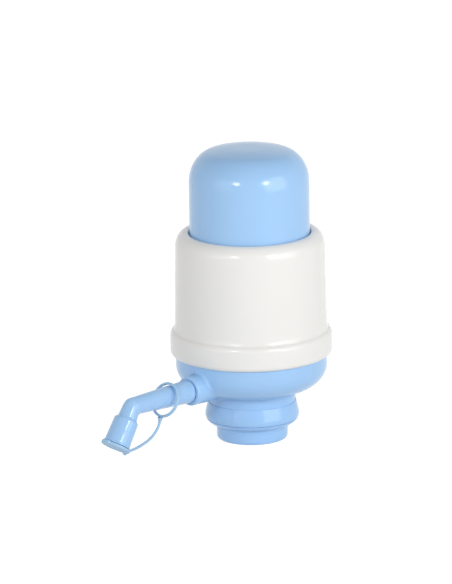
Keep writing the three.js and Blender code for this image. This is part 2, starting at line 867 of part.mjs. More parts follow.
// The spout's pieces stand in a group that is turned to lie along the spout's axis.
const spout = new THREE.Group();
spout.rotation.x = Math.PI / 2;
spout.position.z = spoutZ;
spout.add(piece('spout_tube', spoutTube(), blue()));
sealStations.forEach((station, i) => {
  spout.add(piece(`spout_seal_${i + 1}`, spoutSeal(station), rubber()));
});
const loop = piece('retaining_loop', retainingLoop(), soft());
loop.rotation.x = -THREE.MathUtils.degToRad(loopTilt);
loop.position.set(0, -loopDrop, loopStation);
spout.add(loop);

const tip = new THREE.Group();
tip.rotation.x = THREE.MathUtils.degToRad(tipAngle);
tip.position.z = elbowReach;
const lid = piece('spout_lid', spoutLid(), soft());
lid.position.z = tipLength;
tip.add(lid);
spout.add(tip);
pump.add(spout);
pump.add(piece('lid_strap', lidStrap(), soft()));

export default pump;
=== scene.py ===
import json
import math

import bmesh
import bpy
from mathutils import Matrix, Vector


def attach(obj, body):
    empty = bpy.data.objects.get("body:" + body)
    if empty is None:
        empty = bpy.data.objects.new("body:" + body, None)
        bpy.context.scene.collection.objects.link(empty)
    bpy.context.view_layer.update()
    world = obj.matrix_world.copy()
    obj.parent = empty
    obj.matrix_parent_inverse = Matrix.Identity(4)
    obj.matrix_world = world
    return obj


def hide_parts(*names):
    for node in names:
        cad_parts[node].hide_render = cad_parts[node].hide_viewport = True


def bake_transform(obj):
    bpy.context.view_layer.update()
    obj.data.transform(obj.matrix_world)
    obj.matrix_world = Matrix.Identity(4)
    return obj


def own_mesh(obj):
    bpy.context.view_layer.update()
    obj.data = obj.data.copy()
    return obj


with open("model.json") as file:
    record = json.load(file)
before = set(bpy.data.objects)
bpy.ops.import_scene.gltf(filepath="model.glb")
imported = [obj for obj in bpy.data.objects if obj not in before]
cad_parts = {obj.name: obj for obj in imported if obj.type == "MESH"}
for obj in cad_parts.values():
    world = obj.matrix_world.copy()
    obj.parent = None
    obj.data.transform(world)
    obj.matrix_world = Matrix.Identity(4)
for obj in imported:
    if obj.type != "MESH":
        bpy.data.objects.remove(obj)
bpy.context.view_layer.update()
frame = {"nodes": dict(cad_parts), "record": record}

# Hand pump for a water jug. Sizes are in millimetres and angles in degrees, in the CAD's frame;
# every finished piece is brought to metres. The spout points along -Y.
mm = 0.001
scene = bpy.context.scene
scene.view_settings.view_transform = "Standard"


# Camera, at the photograph's angle
cameraView = {
    "target": (0, 0, 90),
    "azimuth": 45.5,
    "elevation": 14.7,
    "distance": 4700,
    "lens": 485.3,
    "sensor": 36,
    "shift": (-0.042, -0.0017),
    "roll": -0.8,
    "nearest": 50,
}


def direction(azimuth, elevation):
    # unit vector towards a place seen from the object; azimuth 0 is the spout's side
    turn, rise = math.radians(azimuth), math.radians(elevation)
    return Vector((math.sin(turn) * math.cos(rise), -math.cos(turn) * math.cos(rise), math.sin(rise)))


def addCamera(view):
    camera = bpy.data.objects.new("camera", bpy.data.cameras.new("camera"))
    scene.collection.objects.link(camera)
    camera.data.sensor_fit = "VERTICAL"
    camera.data.sensor_height = view["sensor"]
    camera.data.lens = view["lens"]
    camera.data.shift_x, camera.data.shift_y = view["shift"]
    camera.data.clip_start = view["nearest"] * mm
    away = direction(view["azimuth"], view["elevation"])
    camera.location = (Vector(view["target"]) + away * view["distance"]) * mm
    aim = away.to_track_quat("Z", "Y").to_matrix()
    camera.rotation_euler = (aim @ Matrix.Rotation(math.radians(view["roll"]), 3, "Z")).to_euler()
    scene.camera = camera


addCamera(cameraView)
print("camera set")


# Shader node helpers
def addNode(tree, kind, inputs=None, **settings):
    node = tree.nodes.new(kind)
    for name, value in settings.items():
        setattr(node, name, value)
    for name, value in (inputs or {}).items():
        if isinstance(value, bpy.types.NodeSocket):
            tree.links.new(value, node.inputs[name])
        else:
            node.inputs[name].default_value = value
    return node


def calculate(tree, operation, *values):
    return addNode(tree, "ShaderNodeMath", dict(enumerate(values)), operation=operation).outputs[0]


def addNoise(tree, place, scale, detail, roughness):
    inputs = {"Vector": place, "Scale": scale, "Detail": detail, "Roughness": roughness}
    return addNode(tree, "ShaderNodeTexNoise", inputs).outputs["Fac"]


def stretched(tree, place, scale):
    return addNode(tree, "ShaderNodeMapping", {"Vector": place, "Scale": scale}).outputs[0]


def mapped(tree, value, source, target):
    # brings a value from one range to another
    inputs = {"Value": value, "From Min": source[0], "From Max": source[1]}
    inputs.update({"To Min": target[0], "To Max": target[1]})
    return addNode(tree, "ShaderNodeMapRange", inputs).outputs[0]


def brightened(tree, color, level):
    return addNode(tree, "ShaderNodeVectorMath", {0: color, "Scale": level}, operation="SCALE").outputs[0]


def raySeen(tree):
    # 1 for what is seen straight, mirrored or through something, 0 for light that is scattered
    rays = addNode(tree, "ShaderNodeLightPath").outputs
    seen = calculate(tree, "MAXIMUM", rays["Is Camera Ray"], rays["Is Glossy Ray"])
    return calculate(tree, "MAXIMUM", seen, rays["Is Transmission Ray"])


def newGroup(name, inputs):
    # a surface pattern that puts out colour, roughness and height
    group = bpy.data.node_groups.new(name, "ShaderNodeTree")
    for label, kind, value in inputs:
        socket = group.interface.new_socket(label, in_out="INPUT", socket_type=kind)
        if value is not None:
            socket.default_value = value
    for label, kind in (("Color", "Color"), ("Roughness", "Float"), ("Height", "Float")):
        group.interface.new_socket(label, in_out="OUTPUT", socket_type=f"NodeSocket{kind}")
    return group, group.nodes.new("NodeGroupInput"), group.nodes.new("NodeGroupOutput")


def linear(*channels):
    # an sRGB colour of 0 to 255 as a linear colour
    values = [channel / 255 for channel in channels]
    return tuple(v / 12.92 if v <= 0.04045 else ((v + 0.055) / 1.055) ** 2.4 for v in values) + (1,)


# Moulded plastic: each noise has its scale, detail and roughness
mouldedPattern = {
    "cloud": (38, 3, 0.5),
    "speck": (1400, 2, 0.6),
    "streak": (900, 4, 0.7),
    "streakStretch": (1, 1, 0.06),
    "ripple": (95, 1, 0.4),
    "noiseMiddle": 0.5,
    "rubbed": (0.55, 0.75),
    "mist": 1.5,
    "speckHeight": 0.06,
}


def buildMouldedSurface(pattern):
    # faint flow clouds, a slow ripple in the gloss, fine specks and rubbed streaks
    group, given, out = newGroup(
        "mouldedSurface",
        [
            ("Vector", "NodeSocketVector", None),
            ("Color", "NodeSocketColor", (0.8, 0.8, 0.8, 1)),
            ("Roughness", "NodeSocketFloat", 0.25),
            ("Cloud", "NodeSocketFloat", 0.03),
            ("Speck", "NodeSocketFloat", 0.02),
            ("Streak", "NodeSocketFloat", 0.04),
        ],
    )
    place = given.outputs["Vector"]
    cloud = addNoise(group, place, *pattern["cloud"])
    speck = addNoise(group, place, *pattern["speck"])
    streak = addNoise(group, stretched(group, place, pattern["streakStretch"]), *pattern["streak"])
    # colour: a little lighter and darker with the clouds and the specks
    shifts = []
    for noise, amount in ((cloud, "Cloud"), (speck, "Speck")):
        centred = calculate(group, "SUBTRACT", noise, pattern["noiseMiddle"])
        shifts.append(calculate(group, "MULTIPLY", centred, given.outputs[amount]))
    level = calculate(group, "ADD", calculate(group, "ADD", *shifts), 1)
    group.links.new(brightened(group, given.outputs["Color"], level), out.inputs["Color"])
    # gloss: rubbed streaks are duller, and so are the light clouds
    rubbed = mapped(group, streak, pattern["rubbed"], (0, 1))
    dull = calculate(group, "MULTIPLY", rubbed, given.outputs["Streak"])
    misty = calculate(group, "MULTIPLY_ADD", shifts[0], pattern["mist"], dull)
    group.links.new(calculate(group, "ADD", given.outputs["Roughness"], misty), out.inputs["Roughness"])
    # height: slow ripple and the mould's fine texture
    ripple = addNoise(group, place, *pattern["ripple"])
    height = calculate(group, "MULTIPLY_ADD", speck, pattern["speckHeight"], ripple)
    group.links.new(height, out.inputs["Height"])
    return group


# Drawn or turned steel
metalPattern = {
    "lines": (5200, 2, 0.6),
    "lineStretch": (0.1, 0.1, 1),
    "lineRoughness": 0.2,
    "stain": (420, 4, 0.65),
    "stained": (0.3, 0.7),
    "stainLevel": (0.86, 1.06),
}


def buildDrawnMetal(pattern):
    # fine lines round the axis of the piece and small stains
    group, given, out = newGroup(
        "drawnMetal",
        [
            ("Vector", "NodeSocketVector", None),
            ("Color", "NodeSocketColor", (0.6, 0.6, 0.6, 1)),
            ("Roughness", "NodeSocketFloat", 0.3),
        ],
    )
    place = given.outputs["Vector"]
    lines = addNoise(group, stretched(group, place, pattern["lineStretch"]), *pattern["lines"])
    stain = addNoise(group, place, *pattern["stain"])
    level = mapped(group, stain, pattern["stained"], pattern["stainLevel"])
    group.links.new(brightened(group, given.outputs["Color"], level), out.inputs["Color"])
    rough = calculate(group, "MULTIPLY_ADD", lines, pattern["lineRoughness"], given.outputs["Roughness"])
    group.links.new(rough, out.inputs["Roughness"])
    group.links.new(lines, out.inputs["Height"])
    return group


surfaceGroups = {"moulded": buildMouldedSurface(mouldedPattern), "metal": buildDrawnMetal(metalPattern)}

# Finishes: the written colour is sRGB, and the capitalised values go to the surface pattern
finishes = {
    "bluePlastic": {
        "kind": "moulded", "color": (160, 202, 244), "ior": 1.5, "bump": 0.05,
        "Roughness": 0.16, "Cloud": 0.035, "Speck": 0.02, "Streak": 0.03,
    },
    "whitePlastic": {
        "kind": "moulded", "color": (236, 235, 232), "ior": 1.5, "bump": 0.05,
        "Roughness": 0.2, "Cloud": 0.02, "Speck": 0.015, "Streak": 0.04,
    },
    "softPlastic": {
        "kind": "moulded", "color": (164, 202, 234), "ior": 1.45, "bump": 0.08,
        "Roughness": 0.48, "Cloud": 0.07, "Speck": 0.03, "Streak": 0.02,
    },
    "innerPlastic": {
        "kind": "moulded", "color": (228, 230, 232), "ior": 1.46, "bump": 0.1,
        "Roughness": 0.42, "Cloud": 0.05, "Speck": 0.04, "Streak": 0.06,
    },
    "sealRubber": {
        "kind": "moulded", "color": (222, 226, 228), "ior": 1.42, "bump": 0.12,
        "Roughness": 0.55, "Cloud": 0.08, "Speck": 0.07, "Streak": 0.02,
    },
    "bellowsRubber": {
        "kind": "moulded", "color": (214, 219, 223), "ior": 1.42, "bump": 0.12,
        "Roughness": 0.5, "Cloud": 0.1, "Speck": 0.06, "Streak": 0.05,
    },
    "steel": {"kind": "metal", "color": (196, 198, 202), "ior": 1.5, "bump": 0.05, "Roughness": 0.2},
}
reliefDepth = 0.6


def buildFinish(name, look):
    material = bpy.data.materials.new(name)
    material.use_nodes = True
    tree = material.node_tree
    shader = tree.nodes["Principled BSDF"]
    place = addNode(tree, "ShaderNodeTexCoord")
    surface = addNode(tree, "ShaderNodeGroup", node_tree=surfaceGroups[look["kind"]])
    tree.links.new(place.outputs["Object"], surface.inputs["Vector"])
    surface.inputs["Color"].default_value = linear(*look["color"])
    for amount in ("Roughness", "Cloud", "Speck", "Streak"):
        if amount in look:
            surface.inputs[amount].default_value = look[amount]
    inputs = {"Height": surface.outputs["Height"], "Strength": look["bump"], "Distance": reliefDepth * mm}
    relief = addNode(tree, "ShaderNodeBump", inputs)
    tree.links.new(surface.outputs["Color"], shader.inputs["Base Color"])
    tree.links.new(surface.outputs["Roughness"], shader.inputs["Roughness"])
    tree.links.new(relief.outputs["Normal"], shader.inputs["Normal"])
    shader.inputs["IOR"].default_value = look["ior"]
    shader.inputs["Metallic"].default_value = 1 if look["kind"] == "metal" else 0
    return material


materials = {name: buildFinish(name, look) for name, look in finishes.items()}
slotFinishes = {
    "blue_plastic": "bluePlastic",
    "white_plastic": "whitePlastic",
    "soft_plastic": "softPlastic",
    "inner_plastic": "innerPlastic",
    "seal_rubber": "sealRubber",
    "bellows_rubber": "bellowsRubber",
    "spring_steel": "steel",
    "screw_steel": "steel",
}
print("finishes made")


# Mesh helpers, and the roundings that most edges have
mergeDistance = 1e-4
rounds = {"crisp": 0.1, "fine": 0.2, "slight": 0.3, "soft": 0.4, "easy": 0.5, "full": 0.6}


def arc(radius, height, width, rise, start, end, steps=14):
    # points of an elliptical arc in an outline
    angles = [math.radians(start + (end - start) * step / steps) for step in range(steps + 1)]
    return [(radius + width * math.cos(angle), height + rise * math.sin(angle)) for angle in angles]


def bevelled(mesh, geom, offset, affect="EDGES", segments=5, clamp=False):
    bmesh.ops.bevel(
        mesh, geom=geom, offset=offset, offset_type="OFFSET", segments=segments, profile=0.5,
        affect=affect, material=-1, clamp_overlap=clamp,
    )


def lathe(outline, sides=128, closed=True):
    # spins an outline of (radius, height) or (radius, height, rounding) points about Z
    mesh = bmesh.new()
    corners = [mesh.verts.new((point[0], 0, point[1])) for point in outline]
    for pair in zip(corners, corners[1:]):
        mesh.edges.new(pair)
    if closed:
        mesh.edges.new((corners[-1], corners[0]))
    for corner, point in zip(corners, outline):
        if len(point) > 2:
            bevelled(mesh, [corner], point[2], "VERTICES")
    bmesh.ops.spin(
        mesh, geom=mesh.verts[:] + mesh.edges[:], cent=(0, 0, 0), axis=(0, 0, 1), angle=math.tau,
        steps=sides, use_merge=True,
    )
    bmesh.ops.remove_doubles(mesh, verts=mesh.verts[:], dist=mergeDistance)
    bmesh.ops.recalc_face_normals(mesh, faces=mesh.faces[:])
    return mesh


def merged(*parts):
    # several closed shells in one mesh
    whole = bmesh.new()
    for part in parts:
        shell = bpy.data.meshes.new("shell")
        part.to_mesh(shell)
        part.free()
        whole.from_mesh(shell)
        bpy.data.meshes.remove(shell)
    return whole


def moved(mesh, matrix):
    bmesh.ops.transform(mesh, matrix=matrix, verts=mesh.verts[:])
    return mesh


def along(distance):
    return Matrix.Translation((0, 0, distance))


def turned(angle, axis):
    return Matrix.Rotation(math.radians(angle), 4, axis)


def around(count, radius, start=0):
    # places evenly round Z
    outward = Matrix.Translation((radius, 0, 0))
    return [turned(start + 360 * turn / count, "Z") @ outward for turn in range(count)]


def block(width, length, height, place):
    mesh = bmesh.new()
    bmesh.ops.create_cube(mesh, size=1, matrix=place @ Matrix.Diagonal((width, length, height, 1)))
    return mesh


def rod(radius, low, high, sides=32, rounding=rounds["slight"]):
    outline = [(0, low), (radius, low, rounding), (radius, high, rounding), (0, high)]
    return lathe(outline, sides, closed=False)


def flatRing(inner, outer, low, high, rounding=0.25):
    corners = ((inner, low), (outer, low), (outer, high), (inner, high))
    return lathe([(radius, height, rounding) for radius, height in corners])


def openEdges(edges):
    return [edge for edge in edges if len(edge.link_faces) == 1]


def extruded(mesh, edges):
    # grows a tube's open rim by one row and returns the new rim
    grown = bmesh.ops.extrude_edge_only(mesh, edges=edges)["geom"]
    return openEdges(item for item in grown if isinstance(item, bmesh.types.BMEdge))


def placeRow(mesh, edges, place, last):
    # moves a row from its last place to a new one
    verts = list({vert for edge in edges for vert in edge.verts})
    bmesh.ops.transform(mesh, matrix=place @ last.inverted(), verts=verts)


def sweep(points, across, radii, sides):
    # a round cord along points, with one sideways direction and one radius for each point
    steps = [(b - a).normalized() for a, b in zip(points, points[1:])]
    tangents = [steps[0]] + [(a + b).normalized() for a, b in zip(steps, steps[1:])] + [steps[-1]]
    mesh = bmesh.new()
    bmesh.ops.create_circle(mesh, cap_ends=False, radius=1, segments=sides)
    edges = mesh.edges[:]
    last = None
    for point, tangent, side, radius in zip(points, tangents, across, radii):
        side = (side - tangent * side.dot(tangent)).normalized()
        turn = Matrix((side, tangent.cross(side), tangent)).transposed().to_4x4()
        place = Matrix.Translation(point) @ turn @ Matrix.Diagonal((radius, radius, 1, 1))
        if last is not None:
            edges = extruded(mesh, edges)
        placeRow(mesh, edges, place, last or Matrix.Identity(4))
        last = place
    bmesh.ops.holes_fill(mesh, edges=openEdges(mesh.edges), sides=0)
    bmesh.ops.recalc_face_normals(mesh, faces=mesh.faces[:])
    return mesh


def carved(mesh, *tools):
    # cuts tools out of a mesh
    blank, tool = bpy.data.meshes.new("blank"), bpy.data.meshes.new("tool")
    mesh.to_mesh(blank)
    mesh.free()
    whole = merged(*tools)
    whole.to_mesh(tool)
    whole.free()
    work, cutter = bpy.data.objects.new("blank", blank), bpy.data.objects.new("tool", tool)
    for item in (work, cutter):
        scene.collection.objects.link(item)
    modifier = work.modifiers.new("carve", "BOOLEAN")
    modifier.operation, modifier.solver, modifier.object = "DIFFERENCE", "EXACT", cutter
    result = bmesh.new()
    result.from_mesh(work.evaluated_get(bpy.context.evaluated_depsgraph_get()).to_mesh())
    for item in (work, cutter):
        bpy.data.objects.remove(item)
    for data in (blank, tool):
        bpy.data.meshes.remove(data)
    return result


def drills(radius, low, high, places):
    outline = [(0, low), (radius, low), (radius, high), (0, high)]
    return [moved(lathe(outline, 32, closed=False), place) for place in places]


def pieceName(node):
    # bottle_gasket becomes bottleGasket
    first, *rest = node.split("_")
    return first + "".join(word.capitalize() for word in rest)


def finishPiece(name, mesh, body, slot, nodes, smoothAngle=40):
    bmesh.ops.scale(mesh, vec=(mm, mm, mm), verts=mesh.verts[:])
    for face in mesh.faces:
        face.smooth = True
    for edge in mesh.edges:
        if len(edge.link_faces) == 2 and edge.calc_face_angle(0) > math.radians(smoothAngle):
            edge.smooth = False
    data = bpy.data.meshes.new(name)
    mesh.to_mesh(data)
    mesh.free()
    piece = bpy.data.objects.new(name, data)
    scene.collection.objects.link(piece)
    data.materials.append(materials[slotFinishes[slot]])
    if body:
        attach(piece, body)
    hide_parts(*nodes)
    return piece


# Press dome
dome = {
    "radius": 35.9, "top": 178.3, "wall": 1.9,
    "cornerWidth": 15.2, "cornerHeight": 18.9, "cornerTurn": 80, "crown": 1.74, "palmFlat": 6,
    "guide": 42.1, "guideFoot": 108.15, "insideRound": 0.8,
    "flange": 117.15, "flangeTop": 124.45, "flangeReach": 0.7,
    "posts": 3, "postRing": 15, "postTurn": 90, "postRadius": 3.2, "postFoot": 159.06,
}


def crown(edge, top, flat, steps=10):
    # the crown from the corner's end to the palm's flat
    points = []
    for step in range(1, steps):
        share = step / steps
        points.append((edge[0] + (flat - edge[0]) * share, top - (top - edge[1]) * (1 - share) ** 2))
    return points + [(flat, top), (0, top)]


def makeDome(size):
    centre = size["radius"] - size["cornerWidth"]
    cornerZ = size["top"] - size["crown"] - size["cornerHeight"]
    wall, opening, turn = size["wall"], size["radius"] + size["flangeReach"], size["cornerTurn"]
    flangeRise = size["flangeTop"] - size["flange"]
    outer = arc(centre, cornerZ, size["cornerWidth"], size["cornerHeight"], 0, turn, 24)
    inner = arc(centre, cornerZ, size["cornerWidth"] - wall, size["cornerHeight"] - wall, turn, 0, 12)
    shell = lathe(
        crown(inner[0], size["top"] - wall, size["palmFlat"])[::-1]
        + inner
        + [(size["radius"] - wall, size["flangeTop"] - wall, size["insideRound"])]
        + arc(opening, size["flange"], size["guide"] - opening - wall, flangeRise - wall, 90, 0, 6)
        + [(size["guide"] - wall, size["guideFoot"], rounds["easy"])]
        + [(size["guide"], size["guideFoot"], rounds["easy"])]
        + arc(opening, size["flange"], size["guide"] - opening, flangeRise, 0, 90, 10)
        + [(size["radius"], size["flangeTop"], rounds["slight"])]
        + outer
        + crown(outer[-1], size["top"], size["palmFlat"]),
        sides=160,
        closed=False,
    )
    posts = [
        moved(rod(size["postRadius"], size["postFoot"], size["top"] - wall), place)
        for place in around(size["posts"], size["postRing"], size["postTurn"])
    ]
    return merged(shell, *posts)


finishPiece("pressDome", makeDome(dome), "press", "blue_plastic", ["press_dome"])
print("dome made")


# Housing: body, shoulder and the wider foot that is screwed over the bowl
housing = {
    "foot": 52.15, "footRadius": 48.37, "footCurve": (3, 3), "footTop": 63.58, "footTopCurve": (2.6, 4),
    "threadRadius": 45.53, "ledge": 62.6, "bore": 42.4,
    "body": (45.45, 68.58), "bodyRound": 2.4, "shoulder": (44.59, 118.63), "innerShoulder": (117.15, 7.6),
    "top": 127.1, "crest": 38.5, "opening": 36.6, "lipRound": 0.75,
}


def makeHousing(size):
    curveWidth, curveRise = size["footCurve"]
    topWidth, topRise = size["footTopCurve"]
    shoulderRadius, shoulderZ = size["shoulder"]
    innerZ, innerRise = size["innerShoulder"]
    crest, opening, lip = size["crest"], size["opening"], size["lipRound"]
    return lathe(
        arc(size["footRadius"] - curveWidth, size["foot"] + curveRise, curveWidth, curveRise, -78, 0, 12)
        + arc(size["footRadius"] - topWidth, size["footTop"], topWidth, topRise, 0, 76, 12)
        + [(*size["body"], size["bodyRound"])]
        + arc(crest, shoulderZ, shoulderRadius - crest, size["top"] - shoulderZ, 0, 90, 24)
        + arc(crest, size["top"] - lip, crest - opening, lip, 100, 180, 8)
        + arc(opening, innerZ, size["bore"] - opening, innerRise, 90, 0, 10)
        + [(size["bore"], size["ledge"], rounds["slight"]), (size["threadRadius"], size["ledge"])]
        + [(size["threadRadius"], size["foot"], rounds["slight"])],
        sides=160,
    )


finishPiece("housingShell", makeHousing(housing), "base", "white_plastic", ["housing_shell"])
print("housing made")


# Bowl with its neck, the spout's boss, the water duct and the nipple
bowl = {
    "radius": 45.23, "rim": 58.3, "wall": 2.2, "curveTop": 45.7, "floor": 30.2, "floorTop": 32.7,
    "neckRadius": 26.11, "neckBore": 24.1, "neckFoot": 15.5, "neckTop": 30.5,
    "duct": 5.6, "nippleOuter": 5.5, "nippleInner": 3.7, "nippleFoot": 10.8,
}
boss = {
    "height": 38.7, "inner": 25.01, "root": 9.15, "mid": 8.95, "endRadius": 8.2, "reach": 53.2, "round": 2,
    "bore": 6.45, "boreStart": 39.3, "fillet": 1.8, "filletSink": 0.05,
}
toSpout = along(boss["height"]) @ turned(90, "X")


def makeBowl(size):
    curveWidth, wall = size["radius"] - size["neckRadius"], size["wall"]
    neckRise, floorRise = size["curveTop"] - size["neckTop"], size["curveTop"] - size["floorTop"]
    return lathe(
        [(0, size["floor"]), (size["neckBore"], size["floor"], rounds["full"])]
        + [(size["neckBore"], size["neckFoot"], rounds["easy"])]
        + [(size["neckRadius"], size["neckFoot"], rounds["easy"])]
        + arc(size["neckRadius"], size["curveTop"], curveWidth, neckRise, -90, 0, 32)
        + [(size["radius"], size["rim"], rounds["full"])]
        + [(size["radius"] - wall, size["rim"], rounds["full"])]
        + arc(size["neckRadius"], size["curveTop"], curveWidth - wall, floorRise, 0, -90, 16)
        + [(0, size["floorTop"])],
        sides=160,
        closed=False,
    )


def makeNipple(size):
    outer, inner, foot, top = size["nippleOuter"], size["nippleInner"], size["nippleFoot"], size["floorTop"]
    return lathe(
        [(inner, foot, rounds["soft"]), (outer, foot, rounds["full"]), (outer, top), (inner, top)],
        sides=48,
    )


def makeDuct(radius, length):
    # a closed round bar from the pump's axis to the spout's start, with a domed end
    return lathe(
        [(0, -radius)]
        + arc(0, 0, radius, radius, -80, 0, 8)
        + [(radius, length, rounds["slight"]), (0, length)],
        sides=48,
        closed=False,
    )


def makeBoss(size):
    endCurve = size["mid"] - size["endRadius"]
    return lathe(
        [(size["bore"], size["boreStart"]), (size["root"], size["inner"])]
        + arc(size["endRadius"], size["reach"] - size["round"], endCurve, size["round"], 0, 84, 10)
        + [(size["bore"], size["reach"], rounds["easy"])],
        sides=96,
    )


def bowlRadiusAt(size, height):
    # outer radius of the bowl's wall, its curve and its neck
    if height >= size["curveTop"]:
        return size["radius"]
    rise = min(1, (size["curveTop"] - height) / (size["curveTop"] - size["neckTop"]))
    return size["neckRadius"] + (size["radius"] - size["neckRadius"]) * math.sqrt(1 - rise * rise)


def makeBossFillet(size, sides=96, steps=8):
    # a ring of rows from the boss's side out to the bowl's wall, eased in at both ends
    mesh = bmesh.new()
    rows = []
    for step in range(steps + 1):
        turn = step / steps * math.pi / 2
        reach, lift = size["fillet"] * (1 - math.cos(turn)), size["fillet"] * (1 - math.sin(turn))
        radius = size["root"] + reach - size["filletSink"]
        verts = bmesh.ops.create_circle(mesh, cap_ends=False, radius=radius, segments=sides)["verts"]
        for vert in verts:
            wallRadius = bowlRadiusAt(bowl, size["height"] + vert.co.y)
            vert.co.z = math.sqrt(max(0, wallRadius ** 2 - vert.co.x ** 2)) + lift
        rows.append([edge for edge in mesh.edges if all(vert in verts for vert in edge.verts)])
    for near, far in zip(rows, rows[1:]):
        bmesh.ops.bridge_loops(mesh, edges=near + far)
    bmesh.ops.recalc_face_normals(mesh, faces=mesh.faces[:])
    return mesh


def makeBase():
    duct = makeDuct(bowl["duct"], boss["boreStart"])
    spoutSide = [moved(part, toSpout) for part in (makeBoss(boss), makeBossFillet(boss), duct)]
    return merged(makeBowl(bowl), *spoutSide, makeNipple(bowl))


finishPiece("baseBowl", makeBase(), "base", "blue_plastic", ["base_bowl"])
print("bowl made")


# Collar on the bowl's neck, with a fine groove and a top that slopes in to the neck
collar = {
    "mouth": 21.9, "foot": 9.4, "radius": 28.14, "curve": (22.3, 15.27), "slopeStart": 11,
    "groove": 0.7, "grooveFoot": (-28, -27), "grooveTop": (-23, -22),
    "top": 23.1, "bore": 26.2, "lip": 0.25, "lipRound": 0.08, "seat": (1.5, 3), "floor": 11.6,
}


def makeCollar(size):
    edge, curveZ = size["curve"]
    width, rise, groove = size["radius"] - edge, curveZ - size["foot"], size["groove"]
    footEdge, footWall = size["grooveFoot"]
    topWall, topEdge = size["grooveTop"]
    inset, step = size["seat"]
    return lathe(
        [(size["mouth"], size["foot"])]
        + arc(edge, curveZ, width, rise, -90, footEdge, 14)
        + arc(edge, curveZ, width - groove, rise - groove, footWall, topWall, 2)
        + arc(edge, curveZ, width, rise, topEdge, size["slopeStart"], 12)
        + [(size["bore"] + size["lip"], size["top"], size["lipRound"])]
        + [(size["bore"], size["top"], size["lipRound"]), (size["bore"], size["floor"] + step)]
        + [(size["bore"] - inset, size["floor"]), (size["mouth"], size["floor"], rounds["slight"])],
        sides=144,
    )


finishPiece("neckCollar", makeCollar(collar), "collar", "blue_plastic", ["neck_collar"])

# Adapter with its skirt and raised band
adapter = {
    "bore": 19.25, "boreRound": 0.25, "skirt": 21.3, "skirtTop": 6.6, "edge": (1.5, 2.4),
    "band": 21.6, "bandStep": 0.1, "bandRound": 0.12, "flange": 24.6, "flangeZ": 11.9,
    "top": 13.7, "lip": 15.5, "lipZ": 10.5,
}


def makeAdapter(size):
    edgeWidth, edgeRise = size["edge"]
    return lathe(
        [(size["bore"], 0, size["boreRound"])]
        + arc(size["skirt"] - edgeWidth, edgeRise, edgeWidth, edgeRise, -90, 0, 12)
        + [(size["skirt"], size["skirtTop"], size["bandRound"])]
        + [(size["band"], size["skirtTop"] + size["bandStep"], size["bandRound"])]
        + [(size["band"], size["flangeZ"]), (size["flange"], size["flangeZ"], rounds["slight"])]
        + [(size["flange"], size["top"], rounds["soft"]), (size["lip"], size["top"], rounds["easy"])]
        + [(size["lip"], size["lipZ"], rounds["soft"]), (size["bore"], size["lipZ"], rounds["fine"])],
        sides=144,
    )


finishPiece("neckAdapter", makeAdapter(adapter), "adapter", "blue_plastic", ["neck_adapter"])
print("neck pieces made")


# Spout, with stations measured from the pump's axis, and from the elbow along the tip
spout = {
    "start": 39.6, "radius": 6.15, "grooves": (42.8, 47.8), "grooveWidth": 1.6, "grooveDepth": 1.05,
    "grooveRound": 0.15, "step": 0.01, "root": (53.5, 7.0), "front": 5.2, "elbow": 99.4, "bend": 57.5,
    "bendRound": 2.2, "tip": 5.8, "shoulder": (7.2, 8.8), "bore": 3.7, "boreRound": 1.2, "wall": 1.5,
    "nozzle": ((8.8, 7.4, 0.5), (16.5, 7.65, 0.5), (23.1, 7.85, 0.2), (23.4, 8.2, 0.2), (24.4, 8.2, 0.2)),
}
spoutEnd = spout["nozzle"][-1][0]
toTip = along(spout["elbow"]) @ turned(spout["bend"], "X")


def pipe(stations, sides=72):
    # a skin that is extruded from one circle through (matrix, radius, rounding) stations
    mesh = bmesh.new()
    bmesh.ops.create_circle(mesh, cap_ends=False, radius=1, segments=sides)
    edges = mesh.edges[:]
    last = Matrix.Identity(4)
    rows = []
    for place, radius, rounding in stations:
        if rows:
            edges = extruded(mesh, edges)
        place = place @ Matrix.Diagonal((radius, radius, 1, 1))
        placeRow(mesh, edges, place, last)
        last = place
        rows.append((edges, rounding))
    for row, rounding in rows[1:-1]:
        if rounding:
            bevelled(mesh, row, rounding, clamp=True)
    return mesh


def grooveStations(size, groove):
    half, step = size["grooveWidth"] / 2, size["step"]
    depth = size["radius"] - size["grooveDepth"]
    return [
        (along(groove - half), size["radius"], size["grooveRound"]),
        (along(groove - half + step), depth, 0),
        (along(groove + half - step), depth, 0),
        (along(groove + half), size["radius"], size["grooveRound"]),
    ]


def spoutStations(size):
    # the ring at the bend is sheared into the plane that halves the bend
    shear = Matrix.Identity(4)
    shear[2][1] = math.tan(math.radians(size["bend"] / 2))
    mitre = along(size["elbow"]) @ shear
    rootStart, rootRadius = size["root"]
    neck, shoulder = size["shoulder"]
    wall, nozzle = size["wall"], size["nozzle"]
    outer = [(along(size["start"]), size["radius"], 0)]
    for groove in size["grooves"]:
        outer += grooveStations(size, groove)
    outer += [(along(rootStart - size["step"]), size["radius"], 0)]
    outer += [(along(rootStart), rootRadius, rounds["easy"])]
    outer += [(mitre, size["front"], size["bendRound"]), (toTip @ along(neck), size["tip"], rounds["easy"])]
    outer += [(toTip @ along(station), radius, rounding) for station, radius, rounding in nozzle]
    inner = [(toTip @ along(spoutEnd), nozzle[2][1] - wall, 0)]
    inner += [(toTip @ along(shoulder + wall), nozzle[0][1] - wall, rounds["soft"])]
    inner += [(toTip @ along(neck + wall), size["bore"], rounds["soft"])]
    inner += [(mitre, size["bore"], size["boreRound"]), (along(size["start"]), size["bore"], 0)]
    return outer + inner


def makeSpout(size):
    mesh = pipe(spoutStations(size))
    bmesh.ops.bridge_loops(mesh, edges=openEdges(mesh.edges))
    bmesh.ops.recalc_face_normals(mesh, faces=mesh.faces[:])
    return moved(mesh, toSpout)


finishPiece("spoutTube", makeSpout(spout), "spout", "blue_plastic", ["spout_tube"])

